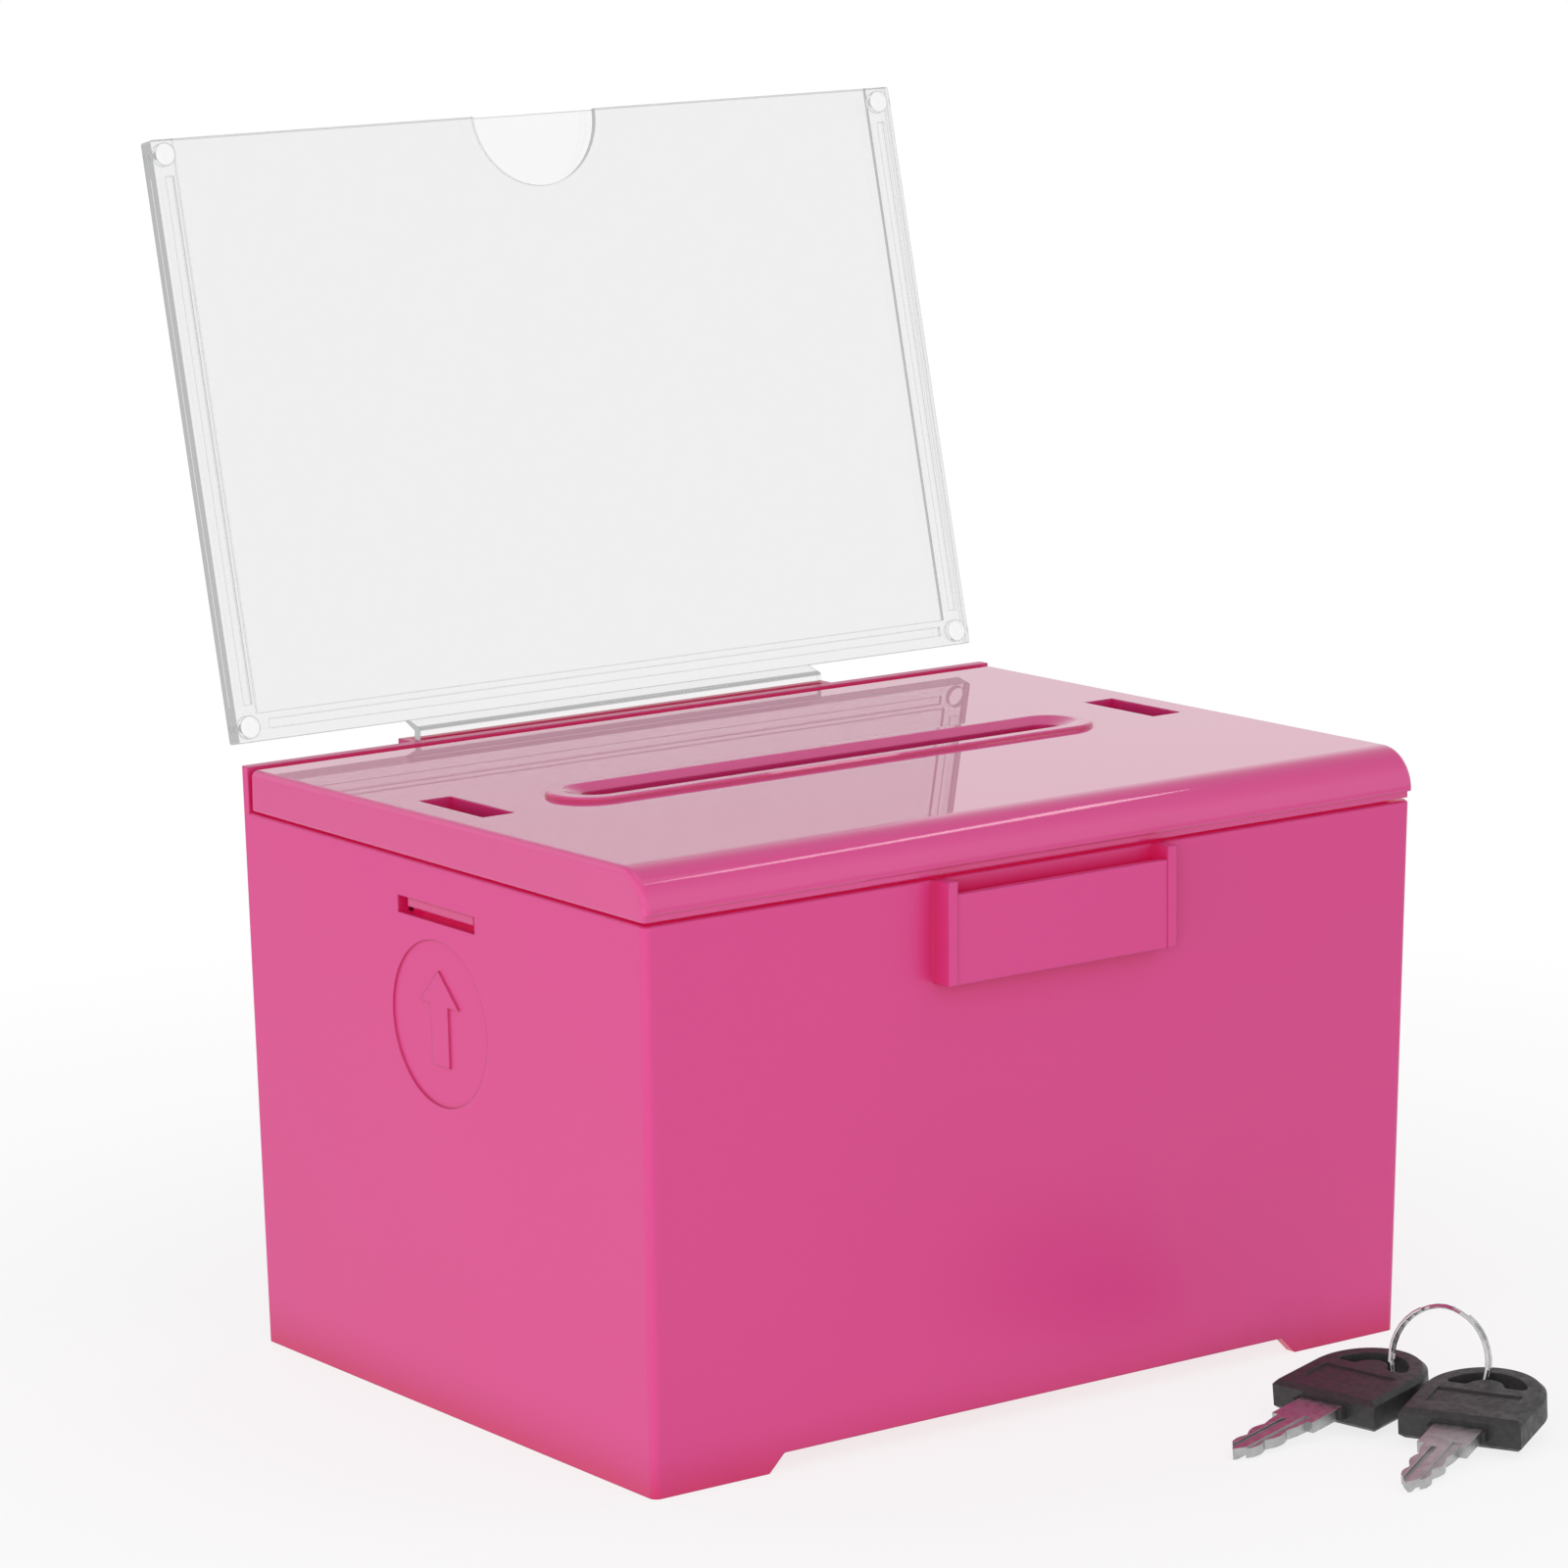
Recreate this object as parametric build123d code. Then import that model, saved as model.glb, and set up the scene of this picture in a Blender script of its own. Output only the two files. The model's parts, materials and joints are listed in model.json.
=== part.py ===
from build123d import *
import os
from math import asin, cos, radians, sin, tan

os.makedirs("parts", exist_ok=True)

# Millimetres. +X is to the right seen from the front, +Y goes to the rear, +Z is up.
# The origin is on the table, under the middle of the box body.

# Box body
box_width = 159.8
box_depth = 118.6
rear_height = 101.2
rear_rise = 7.8
body_height = rear_height - rear_rise
draft = 0.93
wall = 2.2
front_radius = 1.4
rear_radius = 0.6
inner_corner_radius = 0.8
rim_chamfer = 0.35
floor_low = 3.4
floor_thickness = 2.0
overrun = 5.0

# Corner feet at the front
foot_width = 22.6
foot_slope = 3.0
foot_height = 3.0
foot_round = 0.8

# Latch windows and moulded marks in the side walls
window_length = 22.6
window_height = 2.9
window_drop = 8.0
window_z = body_height - window_drop
mark_radius = 14.0
mark_gap = 3.0
mark_depth = 0.35
arrow_height = 16.0
arrow_head_width = 11.4
arrow_head_height = 5.7
arrow_shaft_width = 5.0
arrow_lift = 0.9

# Card pocket on the front wall
card_pocket_width = 47.6
card_pocket_height = 17.1
card_pocket_low = body_height - card_pocket_height
card_pocket_standoff = 4.3
card_pocket_flange = 1.9
card_pocket_plate = 1.4
card_plate_setback = 0.2
card_pocket_shift = 0.8
card_plate_drop = 2.2

# Pocket for the sign's tab on the rear wall
tab_width = 86.6
tab_thickness = 1.8
tab_depth = 15.0
tab_gap = 0.25
tab_pocket_wall = 1.7
tab_pocket_end = 1.9

# Door in the rear wall
door_width = 112.0
door_low = 14.0
door_drop = 19.4
door_high = body_height - door_drop
door_gap = 0.35
hinge_radius = 2.2
hinge_pin_radius = 1.0
hinge_pin_length = 11.4
hinge_lug_length = 6.2
hinge_fit = 0.05
hinge_clearance = 0.4
door_rib_height = 3.0
door_rib_thickness = 1.6
door_rib_inset = 6.0
stop_reach = 4.0
stop_height = 6.0
stop_thickness = 2.0
stop_gap = 0.3

# Lid
lid_below_rear = 0.3
lid_height = rear_height - lid_below_rear
lid_rise = 1.3
lid_seam = 0.6
lid_overhang = 0.4
lid_top = 2.2
lid_skirt = 4.0
lid_lip_drop = 3.5
lid_lip_gap = 0.3
lid_rear_gap = 0.7
nose_radius = 6.8
lid_edge_radius = 1.1
lid_rear_radius = 0.8
nick_height = 1.1
nick_front = 0.3
nick_side = 1.2
window_inset = 6.1
lid_window_shift = 4.0
lid_window_width = 6.4
lid_window_length = 19.2
lid_window_collar = 1.0
lid_window_collar_depth = 2.4

# Ballot slot in the lid
rim_length = 112.6
rim_width = 15.0
rim_lift = 0.8
rim_round = 0.3
mouth_length = 106.8
mouth_width = 10.6
throat_length = 100.0
throat_width = 6.2
funnel_depth = 1.1
chute_depth = 5.0
chute_wall = 1.4

# Latch arms under the lid
arm_width = 21.0
arm_thickness = 1.7
arm_foot = 2.4
hook_height = 2.3
hook_setback = 0.9
hook_round = 0.8

# Clear sign holder
sign_width = 157.8
sign_height = 103.8
sign_lean = 13.3
sign_rise = 2.8
sign_setback = 2.2
bend_rise = 1.4
bend_top = 2.0
bend_lap = 0.3
back_plate = 1.4
front_plate = 1.8
card_gap = 0.8
rail_width = 4.8
groove_width = 1.6
groove_depth = 0.5
groove_inset = 2.0
stake_radius = 1.9
stake_inset = 2.6
stake_fit = 0.05
notch_radius = 13.0
notch_round = 2.0
plate_round = 0.5

# Cam lock in the door
lock_drop = 14.0
lock_height = door_high - lock_drop
bezel_radius = 9.5
bezel_thickness = 2.2
bezel_round = 0.8
barrel_radius = 7.9
barrel_flats = 12.8
barrel_length = 15.0
plug_radius = 5.4
plug_fit = 0.05
plug_setback = 0.4
plug_front = 1.6
stud_radius = 3.6
stud_flats = 5.2
screw_radius = 1.6
screw_head_radius = 3.4
screw_head_height = 1.8
screw_depth = 5.0
nut_across_flats = 19.0
nut_thickness = 2.6
nut_room_share = 0.65
washer_thickness = 0.8
washer_radius = 7.4
washer_ear = 2.4
cam_thickness = 1.6
cam_reach = 22.0
cam_width = 12.0
lock_fit = 0.1
lock_step = 0.1
wafer_thickness = 0.9
wafer_pitch = 2.5
wafer_count = 5
wafer_width = 7.6
wafer_height = 9.0
wafer_ear = 0.8
wafer_ear_place = 1.8
spring_radius = 0.45
spring_length = 2.6
spring_place = 4.35
strike_width = 28.0
strike_thickness = 3.0
strike_gap = 0.5
strike_above = 3.0

# Keys, drawn flat with the top of the bow at the origin and the blade along -Y
head_width = 21.0
head_length = 21.6
head_thickness = 5.4
head_edge = 0.8
bow_rim = 3.1
hole_depth = 8.8
bump_radius = 3.2
bump_top = 6.1
hole_round = 0.9
label_width = 14.6
label_length = 6.0
label_from_base = 4.4
label_depth = 0.3
nub_width = 0.8
nub_length = 1.8
blade_thickness = 1.9
shoulder_width = 8.4
shoulder_length = 8.1
blade_length = 23.6
blade_width = 5.8
blade_point = 2.6
bite_depth = 0.62
bites = ((0, 0), (0.18, 0.24), (0.34, 1), (0.43, 0.3), (0.52, 0), (0.61, 0.4), (0.735, 1.77), (0.83, 1.05),
         (0.9, 0.85), (1, 1.25))
bite_round = 0.25
tang_length = 9.0
key_groove_width = 0.9
key_groove_depth = 0.5
key_flat_width = 1.5
keyway_fit = 0.25

# Split ring, two turns of wire side by side
ring_radius = 9.0
wire_radius = 0.4
ring_pitch = 0.95
ring_cross = 40.0
ring_end_gap = 8.0
ring_lap = 1.0
ring_sides = 6
ring_step = 10.0

# Where the keys lie on the table, in front of the box
keys_x = 50.0
keys_front = 41.0
keys_turn = -71.0
ring_lean = 78.0
table_gap = 0.05
key_pitch = 6.5
key_spread = 8.5
key_side = 9.4
key_rise = 4.8


def lean_in(z):
    """How far a drafted wall at height z stands inside the rear wall's top edge."""
    return (rear_height - z) * tan(radians(draft))


def half_width(z):
    return box_width / 2 - lean_in(z)


def half_depth(z):
    return box_depth / 2 - lean_in(z)


def block(x0, x1, y0, y1, z0, z1):
    """A box between two corners."""
    middle = ((x0 + x1) / 2, (y0 + y1) / 2, (z0 + z1) / 2)
    return Pos(*middle) * Box(x1 - x0, y1 - y0, z1 - z0)


def section(z, inset, front, rear):
    """The body's outline at height z, all sides moved in by inset."""
    outline = Rectangle(2 * (half_width(z) - inset), 2 * (half_depth(z) - inset))
    outline = fillet(outline.vertices().group_by(Axis.Y)[0], front)
    outline = fillet(outline.vertices().sort_by(Axis.Y)[-2:], rear)
    return Pos(0, 0, z) * outline


def tapered(low, high, inset, front, rear):
    """The body's drafted block between two heights, all sides moved in by inset."""
    return loft([section(z, inset, front, rear) for z in (low, high)], ruled=True)


def outer_block():
    return tapered(0, rear_height, 0, front_radius, rear_radius)


def inner_block(low, high, inset):
    return tapered(low, high, inset, inner_corner_radius, inner_corner_radius)


def slot_column(length, width, low, high):
    """A straight sided column with a stadium outline."""
    return extrude(Pos(0, 0, low) * SlotOverall(length, width), high - low)


# Body
rear_inner = half_depth(door_high) - wall
hinge_y = half_depth(door_low) - wall / 2
door_half = door_width / 2


def foot_recess():
    """The long shallow cut that leaves a foot at each front corner."""
    half = half_width(0) - foot_width
    outline = Polyline(
        (-half - foot_slope * overrun / foot_height, -overrun),
        (-half + foot_slope, foot_height),
        (half - foot_slope, foot_height),
        (half + foot_slope * overrun / foot_height, -overrun),
        close=True,
    )
    face = make_face(outline)
    upper = face.vertices().sort_by(Axis.Y)[-2:]
    face = fillet(upper, foot_round)
    front = Plane(origin=(0, -box_depth / 2 - overrun, 0), x_dir=(1, 0, 0), z_dir=(0, -1, 0))
    return extrude(front * face, -(overrun + 2 * wall))


def mark_plane(side):
    """A plane on the outer face of a side wall, at the middle of its round mark."""
    z = window_z - window_height / 2 - mark_gap - mark_radius
    outward = (side * cos(radians(draft)), 0, -sin(radians(draft)))
    return Plane(origin=(side * half_width(z), 0, z), x_dir=(0, side, 0), z_dir=outward)


def arrow_outline():
    """An arrow that points up, centred in the round mark."""
    top = arrow_lift + arrow_height / 2
    neck = top - arrow_head_height
    shaft = arrow_shaft_width / 2
    return make_face(Polyline(
        (0, top),
        (arrow_head_width / 2, neck),
        (shaft, neck),
        (shaft, top - arrow_height),
        (-shaft, top - arrow_height),
        (-shaft, neck),
        (-arrow_head_width / 2, neck),
        close=True,
    ))


def side_cuts(side):
    """The latch window and the sunk round mark of one side wall."""
    reach = box_width / 2 + overrun
    near = half_width(window_z) - 2 * wall
    cut = block(
        min(side * near, side * reach), max(side * near, side * reach),
        -window_length / 2, window_length / 2,
        window_z - window_height / 2, window_z + window_height / 2,
    )
    sunk = Circle(mark_radius) - arrow_outline()
    return cut + extrude(mark_plane(side) * sunk, overrun) + extrude(mark_plane(side) * sunk, -mark_depth)


def card_pocket():
    """The shallow card pocket on the front wall: two flanges, a plate and a floor."""
    half = card_pocket_width / 2
    root = -half_depth(card_pocket_low) + wall / 2
    front = -half_depth(card_pocket_low) - card_pocket_standoff
    solid = block(-half, half, front, root, card_pocket_low, body_height)
    inner = half - card_pocket_flange
    plate_front = front + card_plate_setback
    plate_top = body_height - card_plate_drop
    solid -= block(-inner, inner, front - overrun, plate_front, card_pocket_low - overrun, body_height + overrun)
    solid -= block(
        -inner, inner, plate_front + card_pocket_plate, root + overrun,
        card_pocket_low + card_pocket_plate, body_height + overrun,
    )
    solid -= block(-inner, inner, plate_front - overrun, root, plate_top, body_height + overrun)
    return Pos(card_pocket_shift, 0, 0) * solid


tab_y0 = box_depth / 2 + tab_gap
tab_y1 = tab_y0 + tab_thickness
tab_low = rear_height - tab_depth
tab_half = tab_width / 2


def tab_pocket():
    """The pocket behind the rear wall that takes the sign's tab from above."""
    half = tab_half + tab_gap + tab_pocket_end
    low = tab_low - tab_gap - tab_pocket_wall
    rear = tab_y1 + tab_gap + tab_pocket_wall
    solid = block(-half, half, box_depth / 2 - wall / 2, rear, low, rear_height)
    solid = chamfer(solid.edges().group_by(Axis.Z)[0].sort_by(Axis.Y)[-1], tab_pocket_wall)
    return solid


def tab_slot():
    half = tab_half + tab_gap
    return block(
        -half, half, box_depth / 2, tab_y1 + tab_gap, tab_low - tab_gap, rear_height + overrun,
    )


def hinge_lugs():
    """The two lugs at the door's lower corners, with a web down to the wall below."""
    solids = Part()
    for side in (-1, 1):
        start = door_half - hinge_lug_length
        length = hinge_lug_length + wall
        lug = Pos(side * (start + length / 2), hinge_y, door_low) * Rot(0, 90, 0) * Cylinder(hinge_radius, length)
        x0, x1 = sorted((side * start, side * (start + length)))
        web = block(
            x0, x1, hinge_y - wall / 2, hinge_y + wall / 2,
            door_low - hinge_radius - 2 * hinge_clearance, door_low,
        )
        bore_end = start + hinge_pin_length / 2 + hinge_fit
        bore = Pos(side * (start + bore_end) / 2, hinge_y, door_low) * Rot(0, 90, 0) * Cylinder(
            hinge_pin_radius + hinge_fit, bore_end - start)
        solids += lug + web - bore
    return solids


def door_stops():
    """Two small stops on the inside of the rear wall, behind the door's upper corners."""
    solids = Part()
    top = door_high - door_rib_height
    face = half_depth(top) - wall
    for side in (-1, 1):
        arm = block(
            min(side * (door_half - stop_reach), side * (door_half + wall)),
            max(side * (door_half - stop_reach), side * (door_half + wall)),
            face - stop_gap - stop_thickness - lean_in(top - stop_height) + lean_in(top), face - 2 * stop_gap,
            top - stop_height, top,
        )
        root = block(
            min(side * (door_half + stop_gap), side * (door_half + wall)),
            max(side * (door_half + stop_gap), side * (door_half + wall)),
            face - stop_gap - stop_thickness, face + wall / 2, top - stop_height, top,
        )
        solids += arm + root
    return solids


# The lock stands square to the drafted door. In its own plane, z points out of the door.
lock_out = (0, cos(radians(draft)), -sin(radians(draft)))
lock_plane = Plane(origin=(0, half_depth(lock_height), lock_height), x_dir=(-1, 0, 0), z_dir=lock_out)
washer_front = -barrel_length - lock_step
cam_front = washer_front - washer_thickness - lock_step
cam_back = cam_front - cam_thickness


def strike():
    """The ledge inside the rear wall that the cam turns behind."""
    low = lock_drop + strike_above
    depth = -cam_front - strike_gap
    ledge = Pos(0, low + strike_thickness / 2, -(depth + wall / 2) / 2) * Box(
        strike_width, strike_thickness, depth - wall / 2)
    gussets = Part()
    for side in (-1, 1):
        web = make_face(Polyline(
            (-wall / 2, low), (-depth, low), (-wall / 2, low + depth / 2), close=True))
        gusset = extrude(Plane(origin=(side * (strike_width - strike_thickness) / 2, 0, 0),
                               x_dir=(0, 0, 1), z_dir=(-1, 0, 0)) * web, strike_thickness / 2, both=True)
        gussets += gusset
    return lock_plane * (ledge + gussets)


def door_opening():
    low = door_low - hinge_radius - hinge_clearance
    return block(-door_half, door_half, rear_inner - overrun, box_depth / 2 + overrun, low, door_high)


def rim_bevel():
    """What the small bevel takes off the rim under the lid."""
    low = body_height - rim_chamfer
    kept = loft([section(low, 0, front_radius, rear_radius),
                 section(body_height, rim_chamfer, front_radius, rear_radius)], ruled=True)
    return block(-box_width, box_width, -box_depth, box_depth / 2 - wall, low, body_height) - kept


def box_shell():
    solid = outer_block()
    solid -= block(
        -box_width, box_width, -box_depth, box_depth / 2 - wall, body_height, rear_height + overrun,
    )
    solid -= rim_bevel()
    solid += card_pocket() + tab_pocket()
    solid -= inner_block(floor_low + floor_thickness, rear_height + overrun, wall)
    solid -= inner_block(-overrun, floor_low, wall)
    solid -= foot_recess()
    solid -= side_cuts(-1) + side_cuts(1)
    solid -= tab_slot()
    solid -= door_opening()
    return solid + hinge_lugs() + door_stops() + strike()


def hinge_pin(side):
    """A short steel pin, half in the body's lug and half in the door."""
    x = side * (door_half - hinge_lug_length)
    return Pos(x, hinge_y, door_low) * Rot(0, 90, 0) * Cylinder(hinge_pin_radius, hinge_pin_length)


# Lid
lid_low = body_height + lid_seam
lid_front = -box_depth / 2 - lid_overhang
lid_rear = half_depth(body_height) - wall - lid_rear_gap
arm_outer = half_width(window_z + hook_height) - wall - lid_lip_gap
arm_low = window_z - hook_height


def lid_surface(y):
    """The height of the lid's top, which rises a little to the front."""
    return lid_height + lid_rise * (lid_rear - y) / (lid_rear - lid_front)


def lid_block():
    """The outer block of the lid with its bullnose front and eased top edges."""
    outline = make_face(Polyline(
        (lid_front, lid_low), (lid_rear, lid_low),
        (lid_rear, lid_height), (lid_front, lid_surface(lid_front)), close=True))
    nose = outline.vertices().sort_by(Axis.X)[:2].sort_by(Axis.Y)[-1]
    outline = fillet(nose, nose_radius)
    solid = extrude(Plane.YZ * outline, box_width / 2, both=True)
    ends = [e for e in solid.edges() if abs(abs(e.center().X) - box_width / 2) < lid_edge_radius / 2]
    eased = [e for e in ends if e.center().Z > lid_low + lid_seam and e.center().Y < lid_rear - lid_seam]
    solid = fillet(eased, lid_edge_radius)
    corners = [e for e in solid.edges().filter_by(Axis.Z) if e.center().Y > lid_rear - lid_seam]
    return fillet(corners, lid_rear_radius)


def lid_nick():
    """The shallow step under the lid's front and right edges, where a fingernail lifts it."""
    top = lid_low + nick_height
    front = block(-box_width, box_width, lid_front - overrun, lid_front + nick_front, 0, top)
    side = block(box_width / 2 - nick_side, box_width, lid_front - overrun, lid_rear - overrun, 0, top)
    return front + side


slot_height = lid_surface(0)


def ballot_rim():
    """The raised lip round the slot, and the chute under it."""
    rim = slot_column(rim_length, rim_width, slot_height - lid_top / 2, slot_height + rim_lift)
    rim = chamfer(rim.edges().group_by(Axis.Z)[-1], rim_round)
    chute = slot_column(
        throat_length + 2 * chute_wall, throat_width + 2 * chute_wall,
        slot_height - lid_top - chute_depth, slot_height - lid_top / 2,
    )
    return rim + chute


def ballot_slot():
    """The funnel and the straight throat that a paper goes through."""
    top = slot_height + rim_lift
    mouth = Pos(0, 0, top) * SlotOverall(mouth_length, mouth_width)
    throat = Pos(0, 0, top - funnel_depth) * SlotOverall(throat_length, throat_width)
    funnel = loft([throat, mouth], ruled=True)
    return funnel + slot_column(throat_length, throat_width, lid_low - chute_depth - overrun, top)


def lid_window(side, grow, low, high):
    x = side * (box_width / 2 - window_inset - lid_window_width / 2)
    half_x = lid_window_width / 2 + grow
    half_y = lid_window_length / 2 + grow
    return block(x - half_x, x + half_x, lid_window_shift - half_y, lid_window_shift + half_y, low, high)


def latch_arm(side):
    """A springy arm that hangs from the lid's lip, with a hook that fills the wall's window."""
    face = arm_outer
    inner = face - arm_thickness
    arm = block(inner, face, -arm_width / 2, arm_width / 2, arm_low - arm_foot, lid_height - lid_top / 2)
    tip = half_width(window_z) - hook_setback
    low = window_z - hook_height / 2
    hook = make_face(Polyline(
        (inner, low), (face, low), (tip, low + hook_round),
        (tip, low + hook_height), (inner, low + hook_height), close=True))
    front = Plane(origin=(0, 0, 0), x_dir=(1, 0, 0), z_dir=(0, -1, 0))
    hook = extrude(front * hook, (arm_width - 2 * hook_round) / 2, both=True)
    solid = arm + hook
    return solid if side > 0 else mirror(solid, Plane.YZ)


def lid():
    solid = lid_block() - lid_nick()
    inner_x = box_width / 2 - lid_skirt
    lip_x = half_width(body_height) - wall - lid_lip_gap
    lip_front = -half_depth(body_height) + wall + lid_lip_gap
    lip = block(-lip_x, lip_x, lip_front, lid_rear, lid_low - lid_lip_drop, lid_low + lid_top)
    solid += fillet(lip.edges().filter_by(Axis.Z), inner_corner_radius)
    hollow = block(
        -inner_x, inner_x, -box_depth / 2 + lid_skirt, lid_rear - lid_skirt / 2,
        lid_low - lid_lip_drop - overrun, lid_height - lid_top,
    )
    solid -= hollow
    solid += ballot_rim()
    for side in (-1, 1):
        solid += latch_arm(side)
        solid += lid_window(side, lid_window_collar, lid_height - lid_top - lid_window_collar_depth,
                            lid_height - lid_top / 2)
    solid -= ballot_slot()
    for side in (-1, 1):
        solid -= lid_window(side, 0, lid_low - lid_lip_drop, lid_height + overrun)
    return solid


# Door
door_inner_half = door_half - door_gap


def door_ribs():
    """A low stiffening frame on the inside of the door."""
    low = door_low + door_rib_inset
    high = door_high - door_rib_inset
    half = door_inner_half - door_rib_inset
    depth = wall + door_rib_height
    outline = block(-half, half, 0, box_depth, low, high)
    hollow = block(-half + door_rib_thickness, half - door_rib_thickness, 0, box_depth,
                   low + door_rib_thickness, high - door_rib_thickness)
    skin = inner_block(0, rear_height, wall / 2) - inner_block(-overrun, rear_height + overrun, depth)
    lock_room = lock_plane * Cylinder(nut_across_flats * nut_room_share, box_depth)
    return (skin & (outline - hollow)) - lock_room


def rear_door():
    skin = outer_block() - inner_block(-overrun, rear_height + overrun, wall)
    panel = skin & block(-door_inner_half, door_inner_half, 0, box_depth, door_low, door_high - door_gap)
    solid = panel + door_ribs()
    bead_half = door_half - hinge_lug_length - hinge_clearance
    notch_top = door_low + hinge_radius + hinge_clearance
    for side in (-1, 1):
        x0, x1 = sorted((side * bead_half, side * box_width))
        solid -= block(x0, x1, 0, box_depth, 0, notch_top)
    solid += Pos(0, hinge_y, door_low) * Rot(0, 90, 0) * Cylinder(hinge_radius, 2 * bead_half)
    pin_room = door_half - hinge_lug_length - hinge_pin_length / 2 - hinge_fit
    for side in (-1, 1):
        x = side * (pin_room + bead_half + hinge_fit) / 2
        solid -= Pos(x, hinge_y, door_low) * Rot(0, 90, 0) * Cylinder(
            hinge_pin_radius + hinge_fit, bead_half - pin_room + hinge_fit)
    hole = flatted(barrel_radius + lock_fit, barrel_flats + 2 * lock_fit)
    solid -= lock_plane * extrude(hole, wall + door_rib_height + overrun, both=True)
    return solid


# Lock, drawn in its own plane
def flatted(radius, across):
    """A circle with two flats."""
    return Circle(radius) & Rectangle(across, 2 * radius)


def lock_housing():
    bezel = Cylinder(bezel_radius, bezel_thickness, align=(Align.CENTER, Align.CENTER, Align.MIN))
    bezel = chamfer(bezel.edges().sort_by(Axis.Z)[-1], bezel_round)
    barrel = extrude(flatted(barrel_radius, barrel_flats), -barrel_length)
    bore = Pos(0, 0, (bezel_thickness - barrel_length) / 2) * Cylinder(
        plug_radius + plug_fit, bezel_thickness + barrel_length + overrun)
    return lock_plane * (bezel + barrel - bore)


def keyway():
    """The slot that a key blade goes into, flat side up when the cam is turned away."""
    depth = blade_length - shoulder_length + plug_setback
    slot = Box(blade_width + keyway_fit, blade_thickness + keyway_fit, depth + overrun,
               align=(Align.CENTER, Align.CENTER, Align.MIN))
    return Pos(0, 0, plug_front - depth) * slot


def wafer_z(i):
    return plug_front - plug_setback - wafer_pitch * (i + 1)


def wafer_slot(i):
    """The slot for one wafer, with an open pocket beside it for the wafer's spring."""
    slot = Box(wafer_height + lock_fit, wafer_width + lock_fit, wafer_thickness + lock_fit)
    half = wafer_ear_place + wafer_ear / 2 + lock_fit
    slot += Pos(0, plug_radius, 0) * Box(2 * half, plug_radius, wafer_thickness + lock_fit)
    return Pos(0, 0, wafer_z(i)) * slot


def lock_plug():
    body_length = plug_front + barrel_length
    solid = Pos(0, 0, plug_front - body_length / 2) * Cylinder(plug_radius, body_length)
    stud = extrude(flatted(stud_radius, stud_flats), -(washer_thickness + cam_thickness + 2 * lock_step))
    solid += Pos(0, 0, -barrel_length) * stud
    solid -= Pos(0, 0, -barrel_length - screw_depth / 2) * Cylinder(
        screw_radius + lock_fit, 2 * screw_depth)
    solid -= keyway()
    for i in range(wafer_count):
        solid -= wafer_slot(i)
    return lock_plane * solid


def wafer_ring(i):
    """One wafer: a thin plate, rounded to the plug, with a window for the blade."""
    plate = Rectangle(wafer_height, wafer_width)
    plate += Pos(wafer_ear_place, wafer_width / 2) * Rectangle(wafer_ear, wafer_width / 2)
    plate &= Circle(plug_radius - lock_fit)
    plate -= Rectangle(blade_width + keyway_fit, blade_thickness + 2 * keyway_fit)
    return extrude(Pos(0, 0, wafer_z(i)) * plate, wafer_thickness / 2, both=True)


def lock_wafers():
    return Compound(children=[lock_plane * wafer_ring(i) for i in range(wafer_count)])


def wafer_springs():
    """The little springs beside the wafers, as plain six-sided bars."""
    springs = []
    x = wafer_ear_place - wafer_ear / 2 - lock_fit - spring_length / 2
    for i in range(wafer_count):
        spring = extrude(Plane.YZ * RegularPolygon(spring_radius, 6), spring_length / 2, both=True)
        springs.append(lock_plane * (Pos(x, spring_place, wafer_z(i)) * spring))
    return Compound(children=springs)


def lock_nut():
    solid = Pos(0, 0, -wall - nut_thickness) * extrude(
        RegularPolygon(nut_across_flats / 2, 6, major_radius=False), nut_thickness)
    return lock_plane * (solid - Pos(0, 0, -wall) * Cylinder(barrel_radius + lock_fit, 4 * nut_thickness))


def stop_washer():
    """The washer with one ear that limits the cam to a quarter turn."""
    disc = Circle(washer_radius) + Rot(0, 0, 45) * Pos(washer_radius, 0) * Rectangle(2 * washer_ear, washer_ear)
    disc -= flatted(stud_radius + lock_fit, stud_flats + 2 * lock_fit)
    return lock_plane * (Pos(0, 0, washer_front - washer_thickness) * extrude(disc, washer_thickness))


def lock_cam():
    """A flat steel cam, rounded at both ends, that points to the side when unlocked."""
    plate = Circle(cam_width / 2) + Pos(-cam_reach / 2, 0) * Rectangle(cam_reach, cam_width)
    tip = Pos(-cam_reach, 0) * Circle(cam_width / 2)
    plate = plate + tip
    plate -= flatted(stud_radius + lock_fit, stud_flats + 2 * lock_fit)
    solid = Pos(0, 0, cam_back) * extrude(plate, cam_thickness)
    return lock_plane * solid


def cam_screw():
    shank_length = screw_depth
    shank = Pos(0, 0, cam_back - lock_step + shank_length / 2) * Cylinder(screw_radius, shank_length)
    head = Pos(0, 0, cam_back - lock_step - screw_head_height / 2) * Cylinder(
        screw_head_radius, screw_head_height)
    head = chamfer(head.edges().sort_by(Axis.Z)[0], screw_head_height / 3)
    cross = Rectangle(screw_head_radius, screw_head_height / 3) + Rectangle(screw_head_height / 3, screw_head_radius)
    recess = Pos(0, 0, cam_back - lock_step - screw_head_height) * extrude(cross, screw_head_height / 2)
    return lock_plane * (shank + head - recess)


# Sign holder. Its plane leans back; x runs to the right, y up the plates, z to the front.
lean = radians(sign_lean)
sign_base = (0, tab_y1 + sign_setback, rear_height + sign_rise)
sign_plane = Plane(origin=sign_base, x_dir=(1, 0, 0), z_dir=(0, -cos(lean), sin(lean)))
stake_places = [
    (sx * (sign_width / 2 - stake_inset), y)
    for sx in (-1, 1)
    for y in (stake_inset, sign_height - stake_inset)
]


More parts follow.
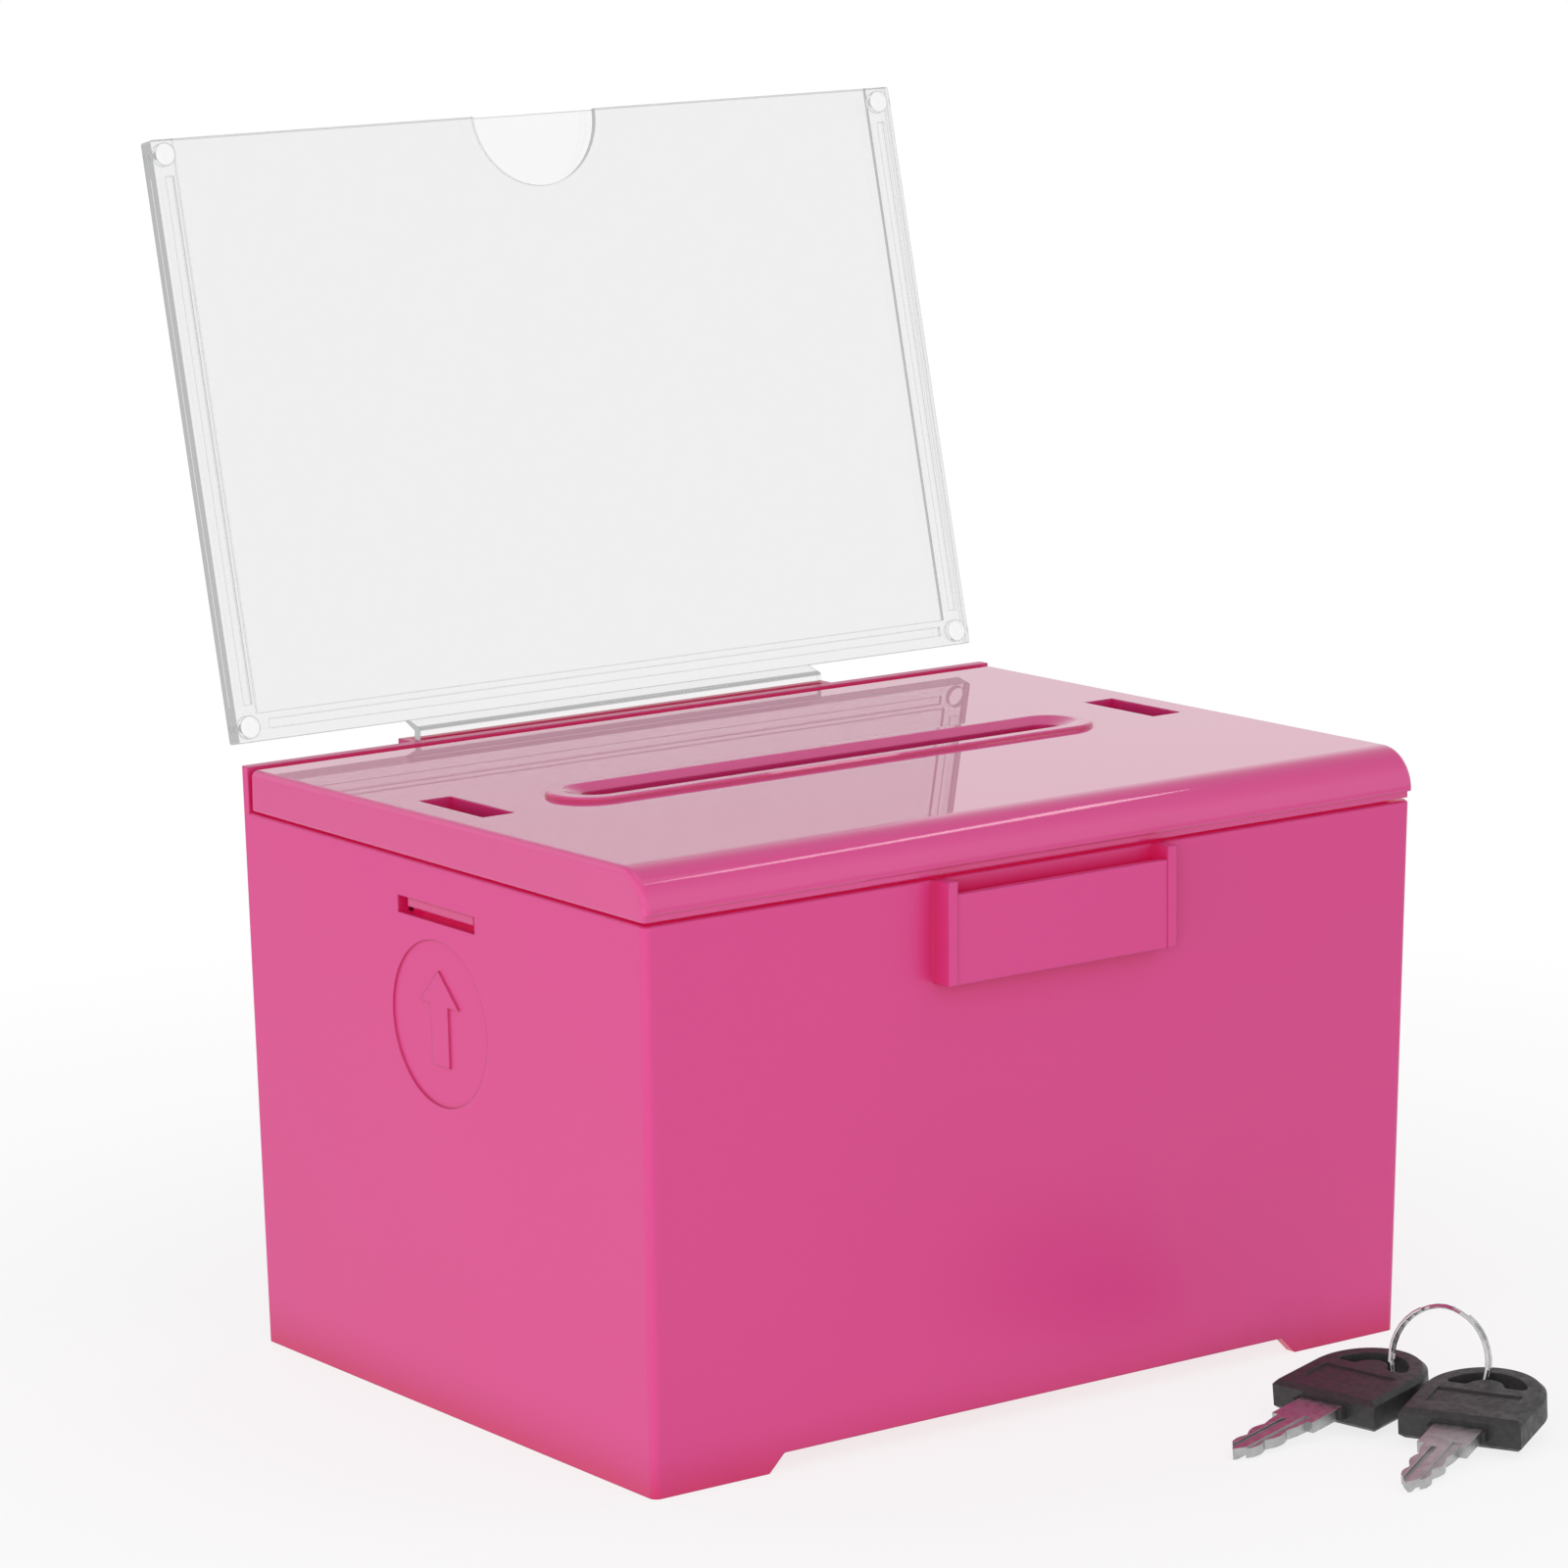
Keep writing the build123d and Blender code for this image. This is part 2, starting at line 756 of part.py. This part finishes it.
def plate(z0, thickness):
    """A clear plate standing on the sign's base line, from z0 towards the front."""
    face = Pos(0, sign_height / 2, z0) * RectangleRounded(sign_width, sign_height, plate_round)
    return extrude(face, thickness)


def sign_point(up, out):
    """The (y, z) of a point at a height up the plates and a distance out to their front."""
    return (sign_base[1] + up * sin(lean) - out * cos(lean), sign_base[2] + up * cos(lean) + out * sin(lean))


def sign_tab():
    """The upright tab, bent back at its top to meet the back plate's lower edge."""
    half = back_plate / 2
    outline = make_face(Polyline(
        (tab_y0, tab_low), (tab_y1, tab_low), (tab_y1, rear_height + bend_rise),
        sign_point(0, -half), sign_point(bend_lap, -half), sign_point(bend_lap, half), sign_point(0, half),
        (tab_y0, rear_height + bend_top), close=True))
    return extrude(Plane.YZ * outline, tab_half, both=True)


def sign_back_plate():
    solid = sign_plane * plate(-back_plate / 2, back_plate) + sign_tab()
    for x, y in stake_places:
        solid += sign_plane * (Pos(x, y, back_plate / 2 + front_plate / 2) * Cylinder(stake_radius, front_plate))
    return solid


def sign_front_plate():
    solid = plate(back_plate / 2, front_plate)
    solid -= Pos(0, rail_width + sign_height / 2, back_plate / 2 + card_gap / 2) * Box(
        sign_width - 2 * rail_width, sign_height, card_gap)
    front = back_plate / 2 + front_plate
    run = sign_height - 2 * stake_inset - 4 * stake_radius
    for side in (-1, 1):
        x = side * (sign_width / 2 - groove_inset - groove_width / 2)
        solid -= Pos(x, sign_height / 2, front) * Box(groove_width, run, 2 * groove_depth)
    solid -= Pos(0, groove_inset + groove_width / 2, front) * Box(
        sign_width - 2 * stake_inset - 4 * stake_radius, groove_width, 2 * groove_depth)
    notch = Circle(notch_radius) + Pos(0, notch_round) * Rectangle(2 * notch_radius, 2 * notch_round)
    solid -= extrude(Pos(0, sign_height, 0) * notch, front + overrun)
    for x, y in stake_places:
        solid -= Pos(x, y, front) * Cylinder(stake_radius + stake_fit, 4 * front_plate)
    return sign_plane * solid


# Keys
bow_radius = head_width / 2
base_y = -head_length


def head_outline():
    """A square shoulder with a round bow on top."""
    body = Pos(0, (base_y - bow_radius) / 2) * Rectangle(head_width, head_length - bow_radius)
    return body + Pos(0, -bow_radius) * Circle(bow_radius)


def bow_hole():
    """The crescent hole, with a round bump that rises from its lower edge."""
    hole = Pos(0, -bow_radius) * Circle(bow_radius - bow_rim)
    hole &= Pos(0, -hole_depth / 2) * Rectangle(head_width, hole_depth)
    hole -= Pos(0, -bump_top - bump_radius) * Circle(bump_radius)
    lobes = hole.vertices().group_by(Axis.Y)[0]
    return fillet(lobes, hole_round)


def tang():
    """The part of the blade that the head is moulded over."""
    return Pos(0, base_y + tang_length / 2) * Rectangle(shoulder_width, tang_length)


def key_head():
    half = head_thickness / 2
    solid = extrude(head_outline(), half, both=True)
    rims = solid.edges().group_by(Axis.Z)
    solid = chamfer(rims[0] + rims[-1], head_edge)
    solid -= extrude(bow_hole(), head_thickness, both=True)
    label = Pos(0, base_y + label_from_base + label_length / 2) * Rectangle(label_width, label_length)
    for z in (half, -half):
        solid -= extrude(Pos(0, 0, z) * label, label_depth, both=True)
    for side in (-1, 1):
        x = side * (shoulder_width + nub_width) / 2
        solid += Pos(x, base_y - nub_length / 2, 0) * Box(nub_width, nub_length, blade_thickness)
    return solid - extrude(tang(), blade_thickness / 2, both=True)


def bitten_edge(side):
    """Points of one cut edge, from the shoulder down to the point."""
    start = base_y - shoulder_length
    cut_length = blade_length - shoulder_length - blade_point
    half = blade_width / 2
    return [(side * (half - bite_depth * depth), start - cut_length * along) for along, depth in bites]


def key_blade():
    shoulder_half = shoulder_width / 2
    top = base_y - shoulder_length
    tip = (0, base_y - blade_length)
    outline = make_face(Polyline(
        (-shoulder_half, base_y), (shoulder_half, base_y), (shoulder_half, top),
        *bitten_edge(1), tip, *reversed(bitten_edge(-1)), (-shoulder_half, top), close=True))
    cuts = outline.vertices().filter_by_position(Axis.Y, tip[1] + bite_round, top - bite_round)
    outline = fillet(cuts, bite_round)
    solid = extrude(outline, blade_thickness / 2, both=True)
    solid += extrude(tang(), blade_thickness / 2, both=True)
    groove_y = (top + tip[1]) / 2
    groove_length = top - tip[1]
    for z in (blade_thickness / 2, -blade_thickness / 2):
        x = -key_groove_width if z > 0 else key_groove_width
        solid -= Pos(x, groove_y - key_groove_width, z) * Box(key_groove_width, groove_length, 2 * key_groove_depth)
        x = blade_width / 2 - key_flat_width / 2
        x = x if z > 0 else -x
        solid -= Pos(x, groove_y + key_flat_width, z) * Box(key_flat_width, groove_length, key_groove_depth)
    return solid


def on_table(solid):
    """Lays the key set's own frame on the table in front of the box."""
    place = Pos(keys_x, -box_depth / 2 - keys_front, 0)
    return place * Rot(0, 0, keys_turn) * solid


def wire_arc(x_dir, normal, start, sweep):
    """A bent length of wire round the origin, in short stretches that turn through an angle."""
    turn = Plane(origin=(0, 0, 0), x_dir=x_dir, z_dir=normal)
    side = Plane(origin=(0, 0, 0), x_dir=(1, 0, 0), z_dir=(0, -1, 0))
    cut = side * (Pos(ring_radius, 0) * RegularPolygon(wire_radius, ring_sides))
    steps = round(sweep / ring_step)
    return turn * loft([Rot(0, 0, start + sweep * i / steps) * cut for i in range(steps + 1)], ruled=True)


def split_ring():
    """Two flat turns of wire, joined by a short crossing at the top, that stand through the bows."""
    half = ring_cross / 2
    flat = 360 - ring_cross - ring_end_gap
    slope = asin(ring_pitch / 2 / (ring_radius * sin(radians(half))))
    lower = wire_arc((0, 1, 0), (0, 0, 1), half, flat)
    upper = wire_arc((0, 1, 0), (0, 0, 1), half + ring_end_gap, flat)
    crossing = wire_arc((0, 1, 0), (-sin(slope), 0, cos(slope)), -half - ring_lap, ring_cross + 2 * ring_lap)
    ring = Pos(0, 0, -ring_pitch / 2) * lower + crossing + Pos(0, 0, ring_pitch / 2) * upper
    tilt = radians(ring_lean)
    rise = ring_radius * sin(tilt) + ring_pitch / 2 * cos(tilt) + wire_radius + table_gap
    return on_table(Pos(0, 0, rise) * Rot(ring_lean, 0, 0) * ring)


def place_key(solid, side):
    """Lays a key with its bow raised on the ring and the point of its blade on the table."""
    tip_drop = (head_length + blade_length) * sin(radians(key_pitch))
    height = tip_drop + blade_thickness / 2 * cos(radians(key_pitch)) + table_gap
    laid = Rot(0, 0, side * key_spread) * Rot(key_pitch, 0, 0) * solid
    return on_table(Pos(side * key_side, key_rise, height) * laid)


nodes = {
    "box_shell": box_shell,
    "hinge_pin_left": lambda: hinge_pin(-1),
    "hinge_pin_right": lambda: hinge_pin(1),
    "lid": lid,
    "rear_door": rear_door,
    "lock_housing": lock_housing,
    "lock_plug": lock_plug,
    "lock_wafers": lock_wafers,
    "wafer_springs": wafer_springs,
    "lock_nut": lock_nut,
    "stop_washer": stop_washer,
    "lock_cam": lock_cam,
    "cam_screw": cam_screw,
    "sign_back_plate": sign_back_plate,
    "sign_front_plate": sign_front_plate,
    "split_ring": split_ring,
    "key_a_head": lambda: place_key(key_head(), -1),
    "key_a_blade": lambda: place_key(key_blade(), -1),
    "key_b_head": lambda: place_key(key_head(), 1),
    "key_b_blade": lambda: place_key(key_blade(), 1),
}

if __name__ == "__main__":
    for name, make in nodes.items():
        export_step(make(), f"parts/{name}.step")
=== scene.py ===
import json
from math import cos, radians, sin

import bpy
from mathutils import Matrix, Vector

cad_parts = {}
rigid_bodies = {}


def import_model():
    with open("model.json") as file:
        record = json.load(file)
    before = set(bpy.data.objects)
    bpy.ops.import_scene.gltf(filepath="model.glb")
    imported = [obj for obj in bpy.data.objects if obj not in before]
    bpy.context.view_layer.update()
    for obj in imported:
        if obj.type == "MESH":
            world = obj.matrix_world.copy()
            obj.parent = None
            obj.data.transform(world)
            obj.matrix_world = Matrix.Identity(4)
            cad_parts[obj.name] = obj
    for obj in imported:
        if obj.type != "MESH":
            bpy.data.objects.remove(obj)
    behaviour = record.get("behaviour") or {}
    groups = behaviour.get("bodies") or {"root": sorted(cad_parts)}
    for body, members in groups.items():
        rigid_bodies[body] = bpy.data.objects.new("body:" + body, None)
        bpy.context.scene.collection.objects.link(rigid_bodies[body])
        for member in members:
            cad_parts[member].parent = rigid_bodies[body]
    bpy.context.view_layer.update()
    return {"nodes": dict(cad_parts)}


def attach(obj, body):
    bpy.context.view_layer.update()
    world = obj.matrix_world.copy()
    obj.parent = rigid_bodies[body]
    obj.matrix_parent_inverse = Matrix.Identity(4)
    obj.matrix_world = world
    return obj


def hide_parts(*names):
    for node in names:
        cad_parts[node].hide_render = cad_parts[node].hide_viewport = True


# Lengths are in metres, angles in degrees, and colours are linear

# Pink moulded plastic
PINK = (0.725, 0.059, 0.270)
PINK_SHADE = (0.70, 0.055, 0.258)
PATCH_SCALE = 9
# Painted shade and painted glow: gaps found by ambient occlusion are coloured a darker crimson and given a
# crimson glow
GAP_PAINTED_SHADE = (0.50, 0.004, 0.06)
GAP_PAINTED_GLOW = (0.50, 0.002, 0.075)
GAP_PAINTED_GLOW_STRENGTH = 0.45
GAP_REACH = 0.011
PINK_IOR = 1.5
PINK_EDGE = 0.0005

# Clear moulded plastic
CLEAR = (0.93, 0.93, 0.93)
# Painted shade: the clear plastic is coloured grey along its edges
CLEAR_EDGE_PAINTED_SHADE = (0.3, 0.3, 0.305)
CLEAR_EDGE = 0.0003
CLEAR_IOR = 1.49
# Painted reflection: a plain grey glow for rays mirrored inside the clear plastic more than once
TRAPPED_PAINTED_REFLECTION = (0.5, 0.505, 0.505)
TRAPPED_DEPTH = 1.5
SIGN_LEAN = 13.3
PLATE_GAP = 0.00008
CONTACT_REACH = 0.00005

# Black plastic and metals
BLACK = (0.022, 0.022, 0.023)
BLACK_WORN = (0.032, 0.032, 0.032)
BLACK_RELIEF = 0.00005
BLACK_EDGE = 0.0003
METAL_DULL_SHARE = 0.82
METAL_RELIEF = 0.00002
BLADE_RELIEF = 0.00004
METAL_EDGE = 0.00015

# Studio
WHITE = (1, 1, 1, 1)
FLOOR_SIZE = 12
FLOOR_COLOR = (0.9, 0.9, 0.9, 1)
FLOOR_ROUGHNESS = 0.9
SOFT_LIGHT = 0.55
LOW_AIM = (0, 0, 0.03)
TOP_AIM = (0, 0, 0.05)
MIDDLE_AIM = (0, 0, 0.09)
LID_AIM = (0, 0, 0.1)

# Camera at the photograph's place
CAMERA_PLACE = (-0.61903, -0.82993, 0.3005)
CAMERA_TURN = -36.318
CAMERA_DIP = 11.111
CAMERA_ROLL = -0.595
CAMERA_LENS = 142.56
CAMERA_SENSOR = 36
CAMERA_NEAR = 0.05

scene = bpy.context.scene
for leftover in list(bpy.data.objects):
    bpy.data.objects.remove(leftover)

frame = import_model()
nodes = frame["nodes"]


# Node helpers
def add(tree, kind, **inputs):
    """Adds a node and sets the inputs that are named, with _ for a space."""
    node = tree.nodes.new(kind)
    for name, value in inputs.items():
        node.inputs[name.replace("_", " ")].default_value = value
    return node


def new_material(name):
    material = bpy.data.materials.new(name)
    material.use_nodes = True
    tree = material.node_tree
    return material, tree, tree.nodes["Principled BSDF"]


def put_on(material, *names):
    """Gives the nodes that are named this material alone."""
    for name in names:
        mesh = nodes[name].data
        mesh.materials.clear()
        mesh.materials.append(material)


def noise(tree, scale, detail, roughness=0.5):
    """Noise in the part's own metres, so that it stays with the piece."""
    place = add(tree, "ShaderNodeTexCoord")
    texture = add(tree, "ShaderNodeTexNoise", Scale=scale, Detail=detail, Roughness=roughness)
    tree.links.new(place.outputs["Object"], texture.inputs["Vector"])
    return texture.outputs["Fac"]


def spread(tree, value, low, high, from_low=0.35, from_high=0.65):
    """Maps a value on to a range; noise stays mostly between 0.35 and 0.65."""
    node = add(tree, "ShaderNodeMapRange")
    node.inputs["From Min"].default_value = from_low
    node.inputs["From Max"].default_value = from_high
    node.inputs["To Min"].default_value = low
    node.inputs["To Max"].default_value = high
    tree.links.new(value, node.inputs["Value"])
    return node.outputs["Result"]


def maths(tree, operation, first, second):
    """Works out one value from two; the second may be a plain number."""
    node = add(tree, "ShaderNodeMath")
    node.operation = operation
    tree.links.new(first, node.inputs[0])
    if isinstance(second, float):
        node.inputs[1].default_value = second
    else:
        tree.links.new(second, node.inputs[1])
    return node.outputs[0]


def blend(tree, factor, low, high):
    """Mixes two colours by a value."""
    mix = add(tree, "ShaderNodeMix")
    mix.data_type = "RGBA"
    for socket, color in (("A", low), ("B", high)):
        if isinstance(color, tuple):
            mix.inputs[socket].default_value = (*color, 1)
        else:
            tree.links.new(color, mix.inputs[socket])
    tree.links.new(factor, mix.inputs["Factor"])
    return mix.outputs["Result"]


def mix_shaders(tree, factor, first, second, surface):
    """Sends a mix of two shaders to the surface."""
    mix = add(tree, "ShaderNodeMixShader")
    for source, socket in zip((factor, first.outputs[0], second.outputs[0]), mix.inputs):
        tree.links.new(source, socket)
    tree.links.new(mix.outputs[0], surface.inputs["Surface"])


def eased_edges(tree, radius, samples):
    """The face's direction, turned smoothly round the sharp edges."""
    edge = add(tree, "ShaderNodeBevel", Radius=radius)
    edge.samples = samples
    return edge.outputs["Normal"]


def bump(tree, shader, height, distance, strength, radius):
    """Adds fine relief to the shader and eases the sharp edges."""
    node = add(tree, "ShaderNodeBump", Strength=strength, Distance=distance)
    tree.links.new(height, node.inputs["Height"])
    tree.links.new(eased_edges(tree, radius, samples=6), node.inputs["Normal"])
    tree.links.new(node.outputs["Normal"], shader.inputs["Normal"])


# Materials
def pink_plastic(name, roughness, coat):
    """Pink, with painted shade in gaps, a darker crimson there, and a painted crimson glow in the gaps, as
    if light came through thin walls.
    """
    material, tree, shader = new_material(name)
    pink = blend(tree, noise(tree, PATCH_SCALE, detail=0), PINK, PINK_SHADE)
    gap = add(tree, "ShaderNodeAmbientOcclusion", Distance=GAP_REACH)
    gap.samples = 5
    openness = gap.outputs["AO"]
    # Painted shade: crimson in the gaps
    color = blend(tree, spread(tree, openness, 0, 1, from_low=0.3, from_high=0.85), GAP_PAINTED_SHADE, pink)
    # Painted glow: crimson light given off in the gaps, as if light came through thin walls
    painted_glow = spread(tree, openness, GAP_PAINTED_GLOW_STRENGTH, 0, from_low=0.05, from_high=0.6)
    tree.links.new(color, shader.inputs["Base Color"])
    tree.links.new(painted_glow, shader.inputs["Emission Strength"])
    tree.links.new(eased_edges(tree, PINK_EDGE, samples=4), shader.inputs["Normal"])
    shader.inputs["Emission Color"].default_value = (*GAP_PAINTED_GLOW, 1)
    shader.inputs["Roughness"].default_value = roughness
    shader.inputs["IOR"].default_value = PINK_IOR
    shader.inputs["Coat Weight"].default_value = coat
    shader.inputs["Coat Roughness"].default_value = 0.008
    return material


def clear_plastic():
    """Clear, with painted grey shade along its edges, and a painted plain grey reflection for rays that it
    has mirrored inside more than once.
    """
    material, tree, shader = new_material("clear plastic")
    flatness = add(tree, "ShaderNodeVectorMath")
    flatness.operation = "DOT_PRODUCT"
    tree.links.new(eased_edges(tree, CLEAR_EDGE, samples=2), flatness.inputs[0])
    tree.links.new(add(tree, "ShaderNodeNewGeometry").outputs["Normal"], flatness.inputs[1])
    flat = flatness.outputs["Value"]
    flat_share = spread(tree, maths(tree, "MULTIPLY", flat, flat), 0, 1, from_low=0.6, from_high=0.99)
    # Painted shade: grey along the edges
    tree.links.new(blend(tree, flat_share, CLEAR_EDGE_PAINTED_SHADE, CLEAR), shader.inputs["Base Color"])
    shader.inputs["Transmission Weight"].default_value = 1.0
    shader.inputs["IOR"].default_value = CLEAR_IOR
    shader.inputs["Roughness"].default_value = 0.0
    depth = add(tree, "ShaderNodeLightPath").outputs["Glossy Depth"]
    trapped = maths(tree, "GREATER_THAN", depth, TRAPPED_DEPTH)
    # Painted reflection: plain grey for rays mirrored inside more than once
    painted_glow = add(tree, "ShaderNodeEmission", Color=(*TRAPPED_PAINTED_REFLECTION, 1), Strength=1.0)
    mix_shaders(tree, trapped, shader, painted_glow, tree.nodes["Material Output"])
    return material


def black_plastic():
    """Black with a fine texture."""
    material, tree, shader = new_material("black plastic")
    mottle = spread(tree, noise(tree, 900, detail=4), 0, 1)
    tree.links.new(blend(tree, mottle, BLACK, BLACK_WORN), shader.inputs["Base Color"])
    tree.links.new(spread(tree, noise(tree, 700, detail=3), 0.42, 0.6), shader.inputs["Roughness"])
    bump(tree, shader, noise(tree, 2600, detail=3), BLACK_RELIEF, 0.5, BLACK_EDGE)
    return material


def metal(name, color, low_roughness, high_roughness, grain, relief=METAL_RELIEF):
    material, tree, shader = new_material(name)
    dull = tuple(channel * METAL_DULL_SHARE for channel in color)
    mottle = spread(tree, noise(tree, grain * 0.6, detail=4, roughness=0.6), 0, 1)
    wear = spread(tree, noise(tree, grain, detail=4, roughness=0.6), low_roughness, high_roughness)
    tree.links.new(blend(tree, mottle, color, dull), shader.inputs["Base Color"])
    tree.links.new(wear, shader.inputs["Roughness"])
    shader.inputs["Metallic"].default_value = 1.0
    bump(tree, shader, noise(tree, grain * 2, detail=3), relief, 0.4, METAL_EDGE)
    return material


put_on(pink_plastic("pink shell", roughness=0.34, coat=0.0), "box_shell", "rear_door")
put_on(pink_plastic("pink lid", roughness=0.015, coat=0.45), "lid")
put_on(clear_plastic(), "sign_back_plate", "sign_front_plate")
put_on(black_plastic(), "key_a_head", "key_b_head")
put_on(metal("blade steel", (0.50, 0.50, 0.50), 0.32, 0.5, 900, BLADE_RELIEF), "key_a_blade", "key_b_blade")
put_on(metal("ring steel", (0.62, 0.62, 0.62), 0.12, 0.25, 900), "split_ring")
put_on(metal("lock chrome", (0.78, 0.78, 0.79), 0.08, 0.16, 400), "lock_housing", "lock_plug", "lock_nut")
put_on(metal("brass", (0.78, 0.58, 0.26), 0.25, 0.4, 500), "lock_wafers")
put_on(metal("zinc steel", (0.62, 0.62, 0.60), 0.25, 0.42, 400),
       "lock_cam", "cam_screw", "stop_washer", "wafer_springs", "hinge_pin_left", "hinge_pin_right")

# The front plate stands a hair off the back plate, so that light passes cleanly between the two
clear_front = bpy.data.objects.new("clear_front_plate", nodes["sign_front_plate"].data.copy())
scene.collection.objects.link(clear_front)
out_of_plate = Vector((0, -cos(radians(SIGN_LEAN)), sin(radians(SIGN_LEAN))))
contact_face = min(vertex.co.dot(out_of_plate) for vertex in clear_front.data.vertices)
for vertex in clear_front.data.vertices:
    if vertex.co.dot(out_of_plate) < contact_face + CONTACT_REACH:
        vertex.co += out_of_plate * PLATE_GAP
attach(clear_front, "sign")
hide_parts("sign_front_plate")


# Studio
def seen_through(tree):
    """Two values: 1 for rays that the eye follows, plainly or through glass, and 1 for mirrored rays."""
    path = add(tree, "ShaderNodeLightPath")
    eye = maths(tree, "MAXIMUM", path.outputs["Is Camera Ray"], path.outputs["Is Transmission Ray"])
    return eye, path.outputs["Is Glossy Ray"]


def floor_material():
    """White away from the box, with a soft shadow near it; in mirrors, white near it and dimmer away."""
    material, tree, shader = new_material("floor")
    shader.inputs["Base Color"].default_value = FLOOR_COLOR
    shader.inputs["Roughness"].default_value = FLOOR_ROUGHNESS
    shader.inputs["Specular IOR Level"].default_value = 0.0
    place = add(tree, "ShaderNodeTexCoord")
    length = add(tree, "ShaderNodeVectorMath")
    length.operation = "LENGTH"
    tree.links.new(place.outputs["Object"], length.inputs[0])
    distance = length.outputs["Value"]
    eye, mirror = seen_through(tree)
    plain_share = spread(tree, distance, 0.78, 1.0, from_low=0.1, from_high=0.34)
    mirrored_share = spread(tree, distance, 0.9, 0.15, from_low=0.15, from_high=0.6)
    plain = maths(tree, "MULTIPLY", eye, plain_share)
    mirrored = maths(tree, "MULTIPLY", mirror, mirrored_share)
    white = add(tree, "ShaderNodeEmission", Color=WHITE, Strength=1.0)
    mix_shaders(tree, maths(tree, "MAXIMUM", plain, mirrored), shader, white, tree.nodes["Material Output"])
    return material


def studio_world():
    """White to the eye, dimmer overhead in mirrors and glass, and plain soft light elsewhere."""
    world = bpy.data.worlds.new("studio")
    world.use_nodes = True
    tree = world.node_tree
    tree.nodes.clear()
    soft = add(tree, "ShaderNodeBackground", Color=WHITE, Strength=SOFT_LIGHT)
    seen = add(tree, "ShaderNodeBackground", Color=WHITE, Strength=1.0)
    way = add(tree, "ShaderNodeTexCoord")
    height = add(tree, "ShaderNodeSeparateXYZ")
    tree.links.new(way.outputs["Generated"], height.inputs[0])
    dimming = spread(tree, height.outputs["Z"], 1.0, 0.0, from_low=0.4, from_high=0.75)
    shown = maths(tree, "MULTIPLY", maths(tree, "MAXIMUM", *seen_through(tree)), dimming)
    camera_ray = add(tree, "ShaderNodeLightPath").outputs["Is Camera Ray"]
    output = add(tree, "ShaderNodeOutputWorld")
    mix_shaders(tree, maths(tree, "MAXIMUM", shown, camera_ray), soft, seen, output)
    return world


def lamp(name, place, aim, size, power, mirrored=False):
    """A lamp shows in glossy faces only where it is called mirrored, and never through the clear plastic."""
    data = bpy.data.lights.new(name, "AREA")
    data.shape = "RECTANGLE"
    data.size, data.size_y = size
    data.energy = power
    ob = bpy.data.objects.new(name, data)
    ob.location = place
    ob.rotation_euler = (Vector(aim) - Vector(place)).to_track_quat("-Z", "Y").to_euler()
    ob.visible_transmission = False
    ob.visible_glossy = mirrored
    scene.collection.objects.link(ob)


bpy.ops.mesh.primitive_plane_add(size=FLOOR_SIZE, location=(0, 0, 0))
floor = bpy.context.object
floor.name = "floor"
floor.data.materials.append(floor_material())

scene.world = studio_world()

lamp("key", (-1.1, -1.2, 0.5), LOW_AIM, size=(0.5, 0.7), power=4.8)
lamp("side", (-1.5, -0.1, 0.4), LOW_AIM, size=(0.7, 0.7), power=3.0)
lamp("front", (0.4, -1.5, 0.4), LOW_AIM, size=(0.7, 0.7), power=0.5)
lamp("left strip", (-1.16, -0.31, 0.19), MIDDLE_AIM, size=(0.10, 0.36), power=1.6)
lamp("right strip", (-0.10, -1.20, 0.19), MIDDLE_AIM, size=(0.10, 0.36), power=1.2)
lamp("top strip", (0.9, -0.27, 1.3), LID_AIM, size=(0.6, 0.05), power=0.35, mirrored=True)
lamp("top", (0.1, -0.2, 1.6), TOP_AIM, size=(1.4, 1.4), power=2, mirrored=True)
lamp("back", (0.5, 1.5, 0.5), TOP_AIM, size=(0.7, 0.7), power=1.8)
lamp("right", (1.5, 0.3, 0.4), TOP_AIM, size=(0.7, 0.7), power=1.4)

camera_data = bpy.data.cameras.new("camera")
camera_data.lens = CAMERA_LENS
camera_data.sensor_width = CAMERA_SENSOR
camera_data.clip_start = CAMERA_NEAR
camera = bpy.data.objects.new("camera", camera_data)
scene.collection.objects.link(camera)
camera.matrix_world = (
    Matrix.Translation(CAMERA_PLACE)
    @ Matrix.Rotation(radians(CAMERA_TURN), 4, "Z")
    @ Matrix.Rotation(radians(90 - CAMERA_DIP), 4, "X")
    @ Matrix.Rotation(radians(CAMERA_ROLL), 4, "Z")
)
scene.camera = camera

scene.view_settings.view_transform = "Standard"
